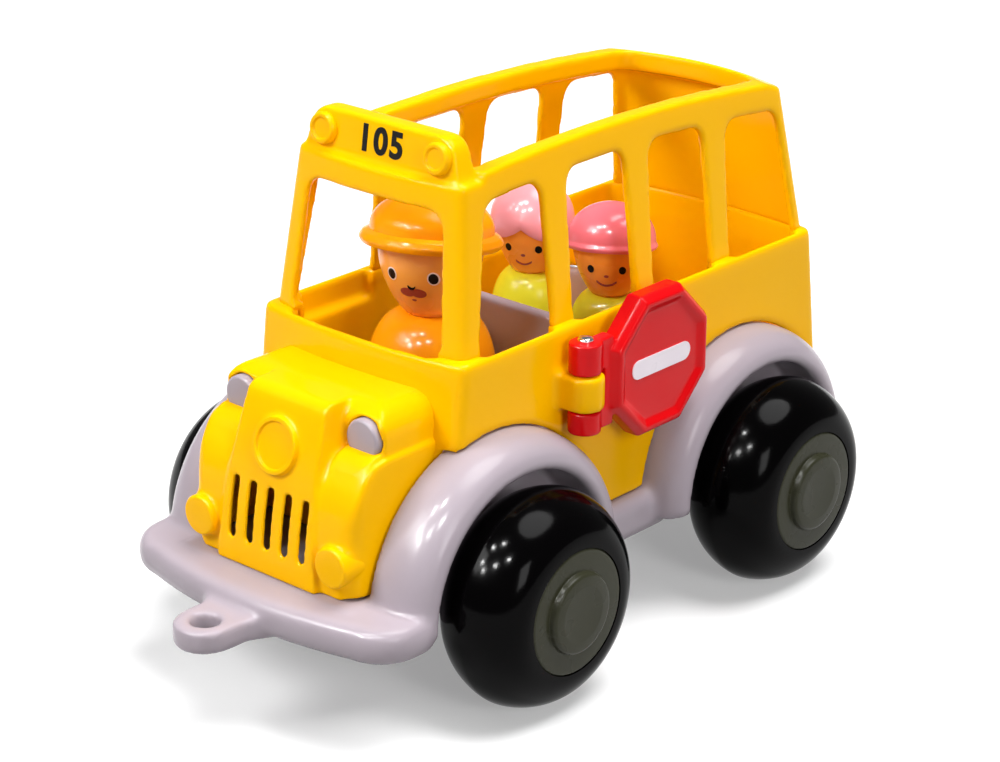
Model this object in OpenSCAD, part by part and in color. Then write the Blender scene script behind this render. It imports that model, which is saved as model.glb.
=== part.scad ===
// Toy bus with an open roof: a moulded chassis on four balloon wheels, a yellow body
// with a window cabin, a folding sign on the left side and three lift-out riders.
// Millimetres, +Z up, front towards -Y, the bus's left side towards +X.

/* [Chassis] */
// Distance between the front and rear axles
wheelbase = 128; // [124:1:134]
// Tip of the tow tab ahead of the front axle
tow_reach = 96; // [92:1:102]
// Back of the rear bumper behind the rear axle
rear_reach = 56; // [55:0.5:60]
// Foremost point of the front bumper ahead of the front axle
bumper_reach = 74; // [71:0.5:77]
// How far each end of the front bumper stands out from the body's side
bumper_out = 15.5; // [13:0.5:18]
// How far each end of the rear bumper stands out from the body's side
rear_bumper_out = 11.5; // [8:0.5:14]
// Rounding of the bumpers' edges
bumper_round = 4.5; // [3:0.5:5]
// Underside of the pan above the floor
pan_z = 29; // [27:0.5:30]
// Thickness of the pan
pan_t = 4; // [3:0.5:5]
// Top of the deck that the yellow mouldings stand on
deck_z = 45; // [44:0.5:48]
// How far the side steps stand out from the body's side
step_out = 5.5; // [4:0.5:8]
// Half width of the tow tab
tab_half_w = 10.5; // [9:0.5:13]
// Thickness of the tow tab
tab_t = 8; // [6:0.5:9]
// Radius of the tow hole
tow_hole_r = 4.9; // [3:0.1:5.5]

/* [Wheels] */
// Radius of the tyres
tyre_r = 37; // [36:0.5:38]
// Width of the tyres
tyre_w = 35; // [32:0.5:36]
// Middle of a tyre out from the body's side
tyre_out = 18.5; // [18.5:0.5:22]
// Radius of the hubs
hub_r = 21.5; // [18:0.5:24]
// Radius of the raised hub caps
cap_r = 14; // [10:0.5:16]
// How far the caps stand out of the hubs
cap_proud = 2.6; // [1:0.1:4]
// Radius of the axles
axle_r = 2.5; // [2:0.1:3]

/* [Fenders] */
// Free height between tyre and fender
fender_gap = 4; // [3:0.5:5]
// Thickness of the fender arches
fender_t = 11; // [10:0.5:13]
// How far the fender lips stand out from the body's side
fender_out = 14.5; // [12:0.5:16]

/* [Body] */
// Half width at the belt
body_half_w = 45.5; // [44:0.5:48]
// Front wall at the belt ahead of the front axle
body_front = 15; // [13:0.5:18]
// Rear wall at the belt behind the rear axle
body_rear = 43; // [40:0.5:45]
// Height of the belt rim
belt_z = 115.5; // [112:0.5:120]
// How far the front wall comes forward down to the deck
front_flare = 7; // [4:0.5:8]
// How far the rear wall goes back down to the deck
rear_flare = 8; // [5:0.5:8.5]
// How far each side goes out down to the deck
side_flare = 1; // [0.5:0.1:1.5]
// Wall of the yellow body
body_wall = 2.6; // [2:0.1:3]
// Top of the cabin floor
floor_z = 70; // [66:0.5:73]
// Thickness of the cabin floor
floor_t = 3; // [2:0.5:4]

/* [Cabin] */
// Step from the belt rim in to the window band
band_inset = 3.2; // [2.5:0.1:4]
// Wall of the window band
cabin_wall = 2.8; // [2.4:0.1:3.2]
// Crown of the roof rail
roof_z = 175; // [171:0.5:180]
// Half width of the roof rail
roof_half_w = 36; // [34:0.5:38]
// Width of the roof rail
rail_w = 7; // [6:0.5:9]
// Depth of the roof rail above the windows
rail_t = 6; // [5:0.5:7]
// Underside of the front header below the crown of the roof rail
header_drop = 13; // [11:0.5:16]
// Middle of the first pillar behind the front wall
first_pillar = 53; // [51:0.5:56]
// Distance from pillar to pillar
pillar_pitch = 42; // [40:0.5:43]
// Width of the pillars
pillar_w = 10; // [8:0.5:12]

/* [Hood] */
// Top of the hood
hood_z = 105; // [102:0.5:108]
// How far the hood's foot stands in from the body's side
hood_in = 8.5; // [8:0.5:10]
// Front of the grille panel ahead of the front axle
hood_reach = 59.5; // [56:0.5:62]
// Wall of the hood
hood_wall = 2.4; // [2:0.1:3]
// Radius of the head lamps
lamp_r = 6.75; // [5:0.25:7.5]
// Number of slots in the grille
slot_count = 5; // [3:1:5]
// Height of the slots
slot_h = 20.5; // [14:0.5:24]
// Width of a slot
slot_w = 2.8; // [2:0.1:3.5]

/* [Signs] */
// Width of the folding sign across its flats
sign_flats = 49.5; // [44:0.5:51]
// Thickness of the folding sign
sign_t = 8.5; // [7:0.5:10]
// Hinge axis out from the body's side at the belt
hinge_out = 7.5; // [7:0.25:9]
// Radius of the hinge pin
pin_r = 1.75; // [1.25:0.25:2]
// Height of the roof sign
roof_sign_h = 14; // [10:0.5:16]
// Depth of the roof sign
roof_sign_d = 12; // [10:0.5:12.5]

/* [Riders] */
// Radius of the driver's body
driver_r = 21.5; // [18:0.5:22]
// Radius of a child's body as a share of the bus's half width
child_r_share = 0.3187; // [0.27:0.005:0.33]
// Middle of a child as a share of the bus's half width
child_x_share = 0.3956; // [0.365:0.005:0.415]

/* [Hidden] */

$fn = 96;
// Steps in a rounded corner and in a long curve
corner_steps = 6;
curve_steps = 10;
// One overrun for all cuts, one slice for all lofts
overrun = 2;
slice_t = 0.1;
// Clearances of a close fit and of pieces set side by side
fit = 0.05;
ease = 0.3;

yellow = "#FFC20E";
grey = "#C3BAC6";
black = "#17151A";
olive = "#4B473F";
red = "#D8101E";
steel = "#C9CBCE";
skin = "#E9974A";
orange = "#F59A12";
lime = "#CBD52A";
pink = "#EE7F8C";

// Places of the axles: the part's length is centred on the origin
total_len = tow_reach + wheelbase + rear_reach;
front_y = tow_reach - total_len / 2;
rear_y = front_y + wheelbase;
axle_z = tyre_r;
axles = [front_y, rear_y];
sides = [-1, 1];

// Widths that follow the body's
bumper_half_w = body_half_w + bumper_out;
rear_bumper_half_w = body_half_w + rear_bumper_out;
step_x = body_half_w + step_out;
tyre_x = body_half_w + tyre_out;
fender_x = body_half_w + fender_out;
hood_half_w = body_half_w - hood_in;
child_r = body_half_w * child_r_share;
child_x = body_half_w * child_x_share;

// Fenders and wheel wells
fender_in_r = tyre_r + fender_gap;
fender_out_r = fender_in_r + fender_t;
well_gap = 0.7;
well_x = hood_half_w + well_gap + ease;
well_wall = 2.8;
shoulder_share = 0.4;
shoulder_x = well_x + (fender_x - well_x) * shoulder_share;
lip_share = 0.16;
arch_drop = 3;
bearing_r = 7;
bearing_core = 4.5;
bearing_len = 17;
wheel_in_x = tyre_x - tyre_w / 2;
wheel_out_x = tyre_x + tyre_w / 2;
bearing_x = wheel_in_x - ease - bearing_len;

// Bumpers and tow tab
bumper_clear_share = 0.25;
rear_clear_share = 0.1;
step_clear_share = 0.2;
bumper_lift = 3;
// Bumpers and steps end inside the fender arches
bumper_clear = fender_in_r + fender_t * bumper_clear_share;
rear_clear = fender_in_r - fender_t * rear_clear_share;
step_clear = fender_in_r + fender_t * step_clear_share;
bumper_step = 0.8;
bumper_bow = 6;
bumper_corner = 16;
bumper_z0 = pan_z + bumper_lift;
bumper_z1 = deck_z - bumper_step;
rear_bow = 3;
rear_corner = 9;
// Rounded bumper edge: [share of the rounding up, share drawn in]
bumper_edge_shares = [[0, 0.65], [0.45, 0.15], [1, 0]];
bumper_back_share = 0.1;
tab_flare = 5;
tab_root = front_y - bumper_reach + bumper_bow;
tab_tip = front_y - tow_reach;
tab_lift = 2;
tab_z = pan_z + tab_lift;
tow_y = tab_tip + tab_half_w;
step_round = 4;
plinth = 1;
rail_in = 3;
rail_rise = 2;
// Inner edges sit at staggered depths inside the walls that they join
core_share = 0.35;
rail_share = 0.7;
pan_share = 0.5;
core_x = well_x + well_wall * core_share;
rail_x = well_x + well_wall * rail_share;
pan_x = well_x + well_wall * pan_share;
step_in_x = well_x - rail_in / 2;
rail_drop = 0.4;
rail_z = pan_z + rail_drop;
step_z = pan_z + 2 * rail_drop;

// Wheels
tyre_axial_power = 1.6;
tyre_radial_power = 2.3;
tyre_steps = 16;
hub_rim_t = 3;
hub_face_t = 5;
cap_seat = 2;
cap_face_share = 0.57;
axle_back = 6;
axle_end = wheel_out_x - axle_back;

// Chassis screws
screw_r = 1.75;
screw_head_r = 3.6;
screw_head_t = 2;
screw_len = 24;
screw_x = 24;
boss_r = 5.5;
screw_ys = [front_y + fender_out_r, rear_y + fender_in_r - 2 * boss_r];
pan_top = pan_z + pan_t;

// Body outline
corner_front_r = 4;
corner_rear_r = 2.5;
corner_min_r = 0.6;
body_bow = 3.5;
rim_r = 1.6;
ledge_w = 6.4;
ledge_nib = 0.4;
foot_inset = 5;
foot_t = 1;
ledge_t = 4.5;
lip_t = 1.8;
body_y0 = front_y - body_front;
body_y1 = rear_y + body_rear;
arch_r = fender_out_r + ease;
arch_x = well_x - ease;

// Cabin outline
band_z0 = belt_z;
front_lean = 6.5;
rear_lean = 10;
roof_bow = 2;
crown_drop = 4.2;
rear_inset_share = 0.4;
header_t = 8;
header_z = roof_z - header_drop;
roof_front_z = header_z + header_t;
band_rear_inset = band_inset * rear_inset_share;
roof_y0 = body_y0 + band_inset + front_lean;
roof_y1 = body_y1 - band_rear_inset - rear_lean;
crown_forward = 9;
roof_mid = (roof_y0 + roof_y1) / 2 - crown_forward;
roof_half_len = (roof_y1 - roof_y0) / 2;
sign_y0 = roof_y0 - roof_bow;
sign_y1 = sign_y0 + roof_sign_d;
rail_len = roof_y1 - rail_w - sign_y1;
sill_h = 1.2;
sill_z = belt_z + sill_h;
window_top_drop = 8.5;
window_r = 6;
window_foot_r = 1.5;
corner_post = 9;
rear_post = 5.5;
pillar_flare = 1.4;
pillars = 3;
rear_top_share = 0.75;
post_top_share = 0.72;
windshield_half_w = body_half_w - band_inset - corner_post;
windshield_top_half_w = roof_half_w - corner_post * post_top_share;

// Roof sign
sign_end = 4;
sign_lean = 2;
sign_lean_angle = atan(sign_lean / roof_sign_h);
sign_lamp_r = 5.2;
sign_lamp_x = 25;
sign_lamp_proud = 2;

// Hood outline
hood_y0 = front_y - hood_reach;
panel_top_half_w = 17.5;
panel_half_w = 22.5;
panel_back = 12.5;
panel_curve = 1.7;
panel_round = 5;
hood_taper = 1.5;
hood_top_half_w = hood_half_w - hood_taper;
hood_round = 9;
lamp_back = 18;
lamp_y = hood_y0 + lamp_back;
lamp_x = 27.5;
lamp_drop = 10.5;
lamp_z = hood_z - lamp_drop;
lamp_depth = 6;
lamp_proud = 2;
lamp_cup = 1;
cheek_back = 2.5;
cheek_y = hood_y0 + cheek_back;
cheek_drop = 15.5;
cheek_z = hood_z - cheek_drop;
cheek_low_z = 60;
cheek_round = 7;
block_round = 5;
boss_x = 30;
boss_z = 57;
button_r = 6.8;
button_proud = 3;
emblem_r = 9.5;
emblem_drop = 17;
emblem_z = hood_z - emblem_drop;
emblem_proud = 0.8;
slot_pitch = 7.9;
slot_z = 64;

// Folding sign
hinge_x = body_half_w + hinge_out;
hinge_back = 36;
hinge_y = front_y + hinge_back;
knuckle_r = 6.6;
knuckle_z0 = 88.5;
knuckle_z1 = 101;
barrel_r = 5.6;
barrel_z0 = 80.5;
barrel_z1 = 112;
sign_z = 97;
octagon_half = 22.5;
sign_r = sign_flats / 2 / cos(octagon_half);
neck_y = knuckle_r + ease;
sign_gap = 2;
sign_y = hinge_y + neck_y + sign_gap + sign_flats / 2;
sign_back = 2.2;
sign_x0 = hinge_x - sign_back;
sign_rim = 4.5;
sign_recess = 1.2;
pin_head_r = 2.7;
pin_head_t = 1.8;

// Seats and riders
tray_t = 5;
tray_top = floor_z + tray_t;
tray_side = 4;
tray_half_w = well_x - tray_side;
tray_corner = 9;
well_depth = 2;
seat_z = tray_top - well_depth;
driver_back = 19.5;
driver_y = front_y + driver_back;
child_back = 71.5;
child_y = driver_y + child_back;
seat_back_t = 5;
seat_back_z = 114;
seat_back_y = driver_y + driver_r + ease;
seat_back_round = 2;
tray_margin = 3;
tray_y0 = driver_y - driver_r - tray_margin;
tray_tail = 5;
tray_y1 = child_y + child_r + tray_tail;
driver_turn = 23;
left_child_turn = 32;
right_child_turn = 35;
hat_tilt = 10;

// Rider sizes: [neck height, neck radius, head height, head radius, body radius, foot radius]
foot_in = 1.5;
rider_room = roof_z - seat_z;
// Neck and head heights as shares of the room under the roof: driver, child
neck_shares = [0.4069, 0.3235];
head_shares = [0.3431, 0.2843];
child_face_share = 0.917;
driver_size = [rider_room * neck_shares[0], 9, rider_room * head_shares[0], 17.5,
               driver_r, driver_r - foot_in];
child_size = [rider_room * neck_shares[1], 7, rider_room * head_shares[1], child_r * child_face_share,
              child_r, child_r - foot_in];
waist_share = 0.5;
chin_share = 0.95;
brow_share = 0.64;
cheek_power = 0.8;
crown_angle = 75;
// Hat sizes: [edge height above the neck, brim radius, brim thickness, dome radius, dome height]
// Edge and dome heights as shares of the head: hat, helmet, hair; radii as shares of a child: helmet, hair
edge_shares = [0.643, 0.552, 0.483];
dome_shares = [0.486, 0.552, 0.655];
brim_r_shares = [1.103, 1.048];
dome_r_shares = [1.055, 1.034];
driver_hat_size = [driver_size[2] * edge_shares[0], 25, 4, 21.5, driver_size[2] * dome_shares[0]];
helmet_size = [child_size[2] * edge_shares[1], child_r * brim_r_shares[0], 2.6, child_r * dome_r_shares[0],
               child_size[2] * dome_shares[1]];
hair_size = [child_size[2] * edge_shares[2], child_r * brim_r_shares[1], 2, child_r * dome_r_shares[1],
             child_size[2] * dome_shares[2]];

function unit(v) = v / norm(v);

// Points of the arc that rounds the corner b between a and c
function corner_arc(a, b, c, r) =
    let (u = unit(a - b), w = unit(c - b), half = acos(u * w) / 2)
    let (o = b + unit(u + w) * r / sin(half), s = b + u * r / tan(half), e = b + w * r / tan(half))
    let (a0 = atan2(s.y - o.y, s.x - o.x), a1 = atan2(e.y - o.y, e.x - o.x))
    let (turn = (a1 - a0 + 540) % 360 - 180)
    [for (i = [0:corner_steps]) let (t = a0 + turn * i / corner_steps) o + r * [cos(t), sin(t)]];

// An outline with each corner rounded by its own radius
function rounded(points, radii) =
    let (n = len(points))
    [for (i = [0:n - 1])
        each (radii[i] == 0 ? [points[i]]
            : corner_arc(points[(i + n - 1) % n], points[i], points[(i + 1) % n], radii[i]))];

function arc(centre, r, a0, a1, from, to) =
    [for (i = [from:to]) let (a = a0 + (a1 - a0) * i / corner_steps) centre + r * [cos(a), sin(a)]];

// Plan of the bus: bowed front edge, rounded corners, straight back
function plan(half_w, y0, y1, bow, r0, r1) =
    concat([for (i = [-curve_steps:curve_steps]) let (s = i / curve_steps)
               [(half_w - r0) * s, y0 - bow * (1 - s * s)]],
           arc([half_w - r0, y0 + r0], r0, -90, 0, 1, corner_steps),
           arc([half_w - r1, y1 - r1], r1, 0, 90, 0, corner_steps),
           arc([r1 - half_w, y1 - r1], r1, 90, 180, 0, corner_steps),
           arc([r0 - half_w, y0 + r0], r0, 180, 270, 0, corner_steps - 1));

function drawn_in(r, inset) = max(r - inset, corner_min_r);

// The body's plan at a height, drawn in by inset
function body_plan(z, inset) =
    let (down = (belt_z - z) / (belt_z - deck_z))
    plan(body_half_w + side_flare * down - inset, body_y0 - front_flare * down + inset,
         body_y1 + rear_flare * down - inset, body_bow, drawn_in(corner_front_r, inset),
         drawn_in(corner_rear_r, inset));

// The cabin's plan at a height, drawn in by inset
function cabin_plan(z, inset) =
    let (up = (z - belt_z) / (roof_z - belt_z), w0 = body_half_w - band_inset)
    plan(w0 + (roof_half_w - w0) * up - inset, body_y0 + band_inset + front_lean * up + inset,
         body_y1 - band_rear_inset - rear_lean * up - inset, body_bow + (roof_bow - body_bow) * up,
         drawn_in(corner_front_r, inset), drawn_in(corner_rear_r, inset));

function roof_height(y) = roof_z - crown_drop * pow((y - roof_mid) / roof_half_len, 2);

function at_height(points, z) = [for (p = points) [p.x, p.y, z]];

// Skin through rings of points, each ring anticlockwise from above, from the lowest up
module loft(rings) {
    n = len(rings[0]);
    top = (len(rings) - 1) * n;
    polyhedron(points = [for (r = rings) each r],
               faces = concat([[for (i = [0:n - 1]) i]], [[for (i = [n - 1:-1:0]) top + i]],
                              [for (k = [0:n:top - n], i = [0:n - 1]) let (j = (i + 1) % n)
                                  each [[k + i, k + n + i, k + n + j], [k + i, k + n + j, k + j]]]));
}

module slice(points, z) translate([0, 0, z]) linear_extrude(slice_t) polygon(points);

// Profiles drawn in (y, z) and run along X, or in (x, z) and run along Y
module across(width) rotate([90, 0, 90]) linear_extrude(width, center = true) children();
module along(y0, y1) translate([0, y1, 0]) rotate([90, 0, 0]) linear_extrude(y1 - y0) children();

// A revolved profile (radius, x) turned about an axle on one side of the bus
module on_side(side) mirror([side < 0 ? 1 : 0, 0, 0]) children();
module on_axle(side, y) translate([0, y, axle_z]) on_side(side) rotate([0, 90, 0]) children();

// Chassis

function bumper_plan(inset) =
    let (front = front_y - bumper_reach + bumper_bow + inset)
    let (back = front_y - bumper_clear - inset * bumper_back_share)
    plan(bumper_half_w - inset, front, back, bumper_bow, bumper_corner - inset, bumper_round / 2);

function rear_plan(inset) =
    let (front = -rear_y - rear_reach + rear_bow + inset)
    let (back = -rear_y - rear_clear - inset * bumper_back_share)
    let (half_w = rear_bumper_half_w - inset)
    let (points = plan(half_w, front, back, rear_bow, rear_corner - inset, bumper_round / 2))
    [for (i = [len(points) - 1:-1:0]) [points[i].x, -points[i].y]];

// Heights and draws of the rounded bumper section, from the underside to the top
bumper_levels = concat([for (e = bumper_edge_shares) [bumper_z0 + bumper_round * e[0], bumper_round * e[1]]],
                       [for (i = [len(bumper_edge_shares) - 1:-1:0]) let (e = bumper_edge_shares[i])
                           [bumper_z1 - bumper_round * e[0], bumper_round * e[1]]]);

module front_bumper() loft([for (l = bumper_levels) at_height(bumper_plan(l[1]), l[0])]);
module rear_bumper() loft([for (l = bumper_levels) at_height(rear_plan(l[1]), l[0])]);

module tow_tab()
    translate([0, 0, tab_z]) linear_extrude(tab_t)
        polygon(rounded([[-tab_half_w - tab_flare, tab_root], [-tab_half_w, tab_root - 2 * tab_flare],
                         [-tab_half_w, tab_tip], [tab_half_w, tab_tip],
                         [tab_half_w, tab_root - 2 * tab_flare], [tab_half_w + tab_flare, tab_root]],
                        [0, tab_flare, tab_half_w - slice_t, tab_half_w - slice_t, tab_flare, 0]));

// Wheel well wall and fender in one revolved profile (radius, x)
module fender_profile() {
    rise = fender_out_r - fender_in_r - fender_t * lip_share;
    reach = fender_x - shoulder_x;
    polygon(concat([[bearing_core, well_x], [fender_out_r, well_x]],
                   [for (i = [0:curve_steps]) let (a = 90 * i / curve_steps)
                       [fender_out_r - rise * (1 - cos(a)), shoulder_x + reach * sin(a)]],
                   [[fender_in_r, fender_x], [fender_in_r, well_x + well_wall],
                    [bearing_core, well_x + well_wall]]));
}

module fender(side, y)
    on_axle(side, y) rotate([0, 0, 90 - arch_drop])
        rotate_extrude(angle = 180 + 2 * arch_drop) fender_profile();

module bearing(side, y)
    on_axle(side, y) translate([0, 0, bearing_x]) cylinder(h = bearing_len, r = bearing_r);

module side_step(side)
    on_side(side) along(front_y + step_clear, rear_y - step_clear)
        polygon(rounded([[step_in_x, step_z], [step_x, step_z], [step_x, deck_z], [step_in_x, deck_z]],
                        [0, step_round, step_round, 0]));

// Long rail that joins a side's wheel wells, pan and step
module side_rail(side)
    on_side(side) along(front_y - fender_in_r, rear_y + fender_in_r)
        polygon([[well_x - rail_in, rail_z], [rail_x, rail_z],
                 [rail_x, axle_z + rail_rise], [well_x - rail_in, axle_z + rail_rise]]);

module chassis()
    color(grey)
    difference() {
        union() {
            along(front_y - fender_in_r, rear_y + fender_in_r)
                polygon([[-pan_x, pan_z], [pan_x, pan_z], [pan_x, pan_top], [-pan_x, pan_top]]);
            // raised front deck under the hood
            along(hood_y0 - plinth, front_y - body_front)
                polygon([[-core_x, pan_z], [core_x, pan_z], [core_x, deck_z], [-core_x, deck_z]]);
            // rear deck under the back wall
            along(rear_y + fender_in_r - rail_in, body_y1 + rear_flare + plinth)
                polygon([[-core_x, pan_z], [core_x, pan_z], [core_x, deck_z], [-core_x, deck_z]]);
            front_bumper();
            rear_bumper();
            tow_tab();
            for (side = sides) {
                side_step(side);
                side_rail(side);
                for (y = axles) {
                    fender(side, y);
                    bearing(side, y);
                }
            }
        }
        for (side = sides, y = axles)
            on_axle(side, y) translate([0, 0, bearing_x - overrun])
                cylinder(h = bearing_len + 2 * overrun, r = axle_r + fit);
        translate([0, tow_y, tab_z - overrun]) cylinder(h = tab_t + 2 * overrun, r = tow_hole_r);
        for (x = [-screw_x, screw_x], y = screw_ys)
            translate([x, y, pan_z - overrun]) {
                cylinder(h = pan_t + 2 * overrun, r = screw_r + ease);
                cylinder(h = screw_head_t + overrun, r = screw_head_r + ease);
            }
    }

module chassis_screws()
    color(steel)
    for (x = [-screw_x, screw_x], y = screw_ys)
        translate([x, y, pan_z]) {
            cylinder(h = screw_head_t, r = screw_head_r);
            cylinder(h = screw_len, r = screw_r);
        }

// Body

module body_block(inset)
    hull() {
        slice(body_plan(deck_z, inset), deck_z);
        slice(body_plan(belt_z, inset), belt_z - rim_r);
        slice(body_plan(belt_z, inset + rim_r / 2), belt_z - slice_t);
    }

module wheel_arches()
    for (side = sides, y = axles)
        on_axle(side, y) translate([0, 0, arch_x]) cylinder(h = body_half_w, r = arch_r);

module hinge_knuckle()
    translate([0, 0, knuckle_z0]) linear_extrude(knuckle_z1 - knuckle_z0) {
        translate([hinge_x, hinge_y]) circle(r = knuckle_r);
        translate([body_half_w - body_wall / 2, hinge_y - knuckle_r])
            square([hinge_out + body_wall / 2, 2 * knuckle_r]);
    }

module body_tub()
    color(yellow)
    difference() {
        union() {
            difference() {
                body_block(0);
                // room above the floor
                hull() {
                    slice(body_plan(floor_z, body_wall), floor_z);
                    slice(body_plan(belt_z, ledge_w - ledge_nib), belt_z - ledge_t);
                }
                // opening inside the belt ledge
                translate([0, 0, belt_z - ledge_t - overrun]) linear_extrude(ledge_t + 2 * overrun)
                    polygon(body_plan(belt_z, ledge_w));
                // room under the floor
                hull() {
                    slice(body_plan(deck_z, body_wall), deck_z - overrun);
                    slice(body_plan(floor_z, body_wall), floor_z - floor_t);
                }
            }
            for (x = [-screw_x, screw_x], y = screw_ys)
                translate([x, y, pan_top]) cylinder(h = floor_z - floor_t / 2 - pan_top, r = boss_r);
            hinge_knuckle();
        }
        wheel_arches();
        for (x = [-screw_x, screw_x], y = screw_ys)
            translate([x, y, pan_top - overrun]) cylinder(h = screw_len, r = screw_r + fit);
        translate([hinge_x, hinge_y, knuckle_z0 - overrun])
            cylinder(h = knuckle_z1 - knuckle_z0 + 2 * overrun, r = pin_r + fit);
    }

// Cabin

// Side view of the cabin up to the roof rail, lowered by drop
module cabin_side(drop)
    polygon(concat([[body_y0 - body_bow, band_z0 - overrun], [body_y0 - body_bow, roof_front_z - drop],
                    [sign_y1, roof_front_z - drop], [sign_y1, roof_height(sign_y1) - drop]],
                   [for (i = [1:curve_steps]) let (y = sign_y1 + rail_len * i / curve_steps)
                       [y, roof_height(y) - drop]],
                   [[roof_y1 + rail_w / 2, roof_height(roof_y1) - rail_t / 2 - drop],
                    [body_y1, band_z0 - overrun]]));

module cabin_block(inset, low)
    hull() {
        slice(cabin_plan(low, inset), low);
        slice(cabin_plan(roof_z, inset), roof_z);
    }

// A side window between two posts: its front and rear edges at the sill and at the top
module side_window(front_low, front_high, rear_low, rear_high)
    across(2 * body_half_w + 2 * overrun)
        polygon(rounded([[front_low, sill_z], [rear_low, sill_z],
                         [rear_high, roof_height(rear_high) - window_top_drop],
                         [front_high, roof_height(front_high) - window_top_drop]],
                        [window_foot_r, window_foot_r, window_r, window_r]));

function pillar_y(i) = body_y0 + first_pillar + pillar_pitch * i;

module side_windows() {
    first = body_y0 + band_inset + corner_post;
    last = body_y1 - band_rear_inset - rear_post;
    half = pillar_w / 2;
    side_window(first, first + front_lean + pillar_flare,
                pillar_y(0) - half, pillar_y(0) - half - pillar_flare);
    for (i = [0:pillars - 2])
        side_window(pillar_y(i) + half, pillar_y(i) + half + pillar_flare,
                    pillar_y(i + 1) - half, pillar_y(i + 1) - half - pillar_flare);
    side_window(pillar_y(pillars - 1) + half, pillar_y(pillars - 1) + half + pillar_flare,
                last, last - rear_lean * rear_top_share);
}

module windshield()
    along(body_y0 - body_bow - overrun, roof_y0 + cabin_wall + overrun)
        polygon(rounded([[-windshield_half_w, sill_z], [windshield_half_w, sill_z],
                         [windshield_top_half_w, header_z], [-windshield_top_half_w, header_z]],
                        [window_foot_r, window_foot_r, window_r, window_r]));

module cabin_frame()
    color(yellow)
    union() {
        difference() {
            intersection() {
                cabin_block(0, band_z0);
                across(2 * body_half_w) cabin_side(0);
            }
            intersection() {
                cabin_block(cabin_wall, band_z0 - overrun);
                across(2 * body_half_w) cabin_side(rail_t);
            }
            translate([0, 0, header_z]) linear_extrude(roof_z)
                polygon(plan(roof_half_w - rail_w, sign_y1, roof_y1 - rail_w, 0, window_r, window_r));
            side_windows();
            windshield();
        }
        // foot ring on the belt ledge and the lip that drops inside it
        translate([0, 0, belt_z]) linear_extrude(foot_t)
            difference() {
                polygon(body_plan(belt_z, foot_inset));
                polygon(body_plan(belt_z, ledge_w + ease + lip_t));
            }
        translate([0, 0, belt_z - ledge_t]) linear_extrude(ledge_t + foot_t)
            difference() {
                polygon(body_plan(belt_z, ledge_w + ease));
                polygon(body_plan(belt_z, ledge_w + ease + lip_t));
            }
    }

module roof_sign()
    color(yellow) {
        w = roof_half_w - sign_end / 2;
        difference() {
            translate([0, 0, roof_front_z]) along(sign_y0, sign_y1)
                polygon(rounded([[-w, 0], [w, 0], [w - sign_end, roof_sign_h], [sign_end - w, roof_sign_h]],
                                [0, 0, roof_sign_h / 2, roof_sign_h / 2]));
            translate([0, sign_y0, roof_front_z]) rotate([-sign_lean_angle, 0, 0])
                translate([-roof_half_w, -2 * sign_lean - overrun, 0])
                    cube([2 * roof_half_w, 2 * sign_lean + overrun, 2 * roof_sign_h]);
        }
        for (x = [-sign_lamp_x, sign_lamp_x])
            translate([x, sign_y0 + sign_lean, roof_front_z + roof_sign_h / 2])
                rotate([90 - sign_lean_angle, 0, 0])
                    cylinder(h = sign_lean + sign_lamp_proud, r = sign_lamp_r);
    }

// Hood

function panel_y(z, inset) =
    let (t = max(0, (z - deck_z) / (hood_z - deck_z)))
    hood_y0 + inset + panel_back * pow(t, panel_curve);

// The hood's outer form, or its hollow when drawn in by inset; low and back are its open ends
module hood_form(inset, low, back) {
    top = hood_z - inset;
    brow = top - panel_round;
    rise = cheek_z - inset - cheek_low_z;
    span = 2 * (hood_half_w - inset);
    // upper block that carries the lamps
    intersection() {
        across(span)
            polygon(rounded([[back, low], [back, top], [lamp_y + inset, top], [lamp_y + inset, low]],
                            [0, 0, hood_round - inset, 0]));
        along(hood_y0, back + overrun)
            polygon(rounded([[inset - hood_half_w, low], [inset - hood_top_half_w, top],
                             [hood_top_half_w - inset, top], [hood_half_w - inset, low]],
                            [0, hood_round - inset, hood_round - inset, 0]));
        translate([0, 0, low]) linear_extrude(hood_z - low)
            polygon(rounded([[inset - hood_half_w, back], [inset - hood_half_w, lamp_y + inset],
                             [hood_half_w - inset, lamp_y + inset], [hood_half_w - inset, back]],
                            [0, block_round - inset, block_round - inset, 0]));
    }
    // middle panel with the grille
    intersection() {
        across(span)
            polygon(rounded(concat([[back, low], [back, top - ease], [panel_y(top, inset), top - ease]],
                                   [for (i = [0:curve_steps])
                                       let (z = brow - (brow - low) * i / curve_steps)
                                       [panel_y(z, inset), z]]),
                            concat([0, 0, panel_round - inset], [for (i = [0:curve_steps]) 0])));
        along(hood_y0 - overrun, back + overrun)
            polygon([[inset - panel_half_w, low], [inset - panel_top_half_w, top],
                     [panel_top_half_w - inset, top], [panel_half_w - inset, low]]);
    }
    // rounded cheeks under the lamps
    intersection() {
        across(span)
            polygon(concat([[back, low], [back, cheek_z - inset]],
                           [for (i = [0:curve_steps]) let (a = 90 * i / curve_steps)
                               [lamp_y + inset + (cheek_y - lamp_y) * sin(a), cheek_low_z + rise * cos(a)]],
                           [[cheek_y + inset, low]]));
        translate([0, 0, low]) linear_extrude(hood_z - low)
            polygon(rounded([[inset - hood_half_w, back], [inset - hood_half_w, cheek_y + inset],
                             [hood_half_w - inset, cheek_y + inset], [hood_half_w - inset, back]],
                            [0, cheek_round - inset, cheek_round - inset, 0]));
    }
}

module grille_slot(x)
    translate([x, 0, slot_z]) along(hood_y0 - overrun, hood_y0 + panel_back) {
        square([slot_w, slot_h - slot_w], center = true);
        for (s = sides)
            translate([0, s * (slot_h - slot_w) / 2]) circle(d = slot_w);
    }

module lamp_place(side, y) translate([side * lamp_x, y, lamp_z]) rotate([90, 0, 0]) children();

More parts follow.
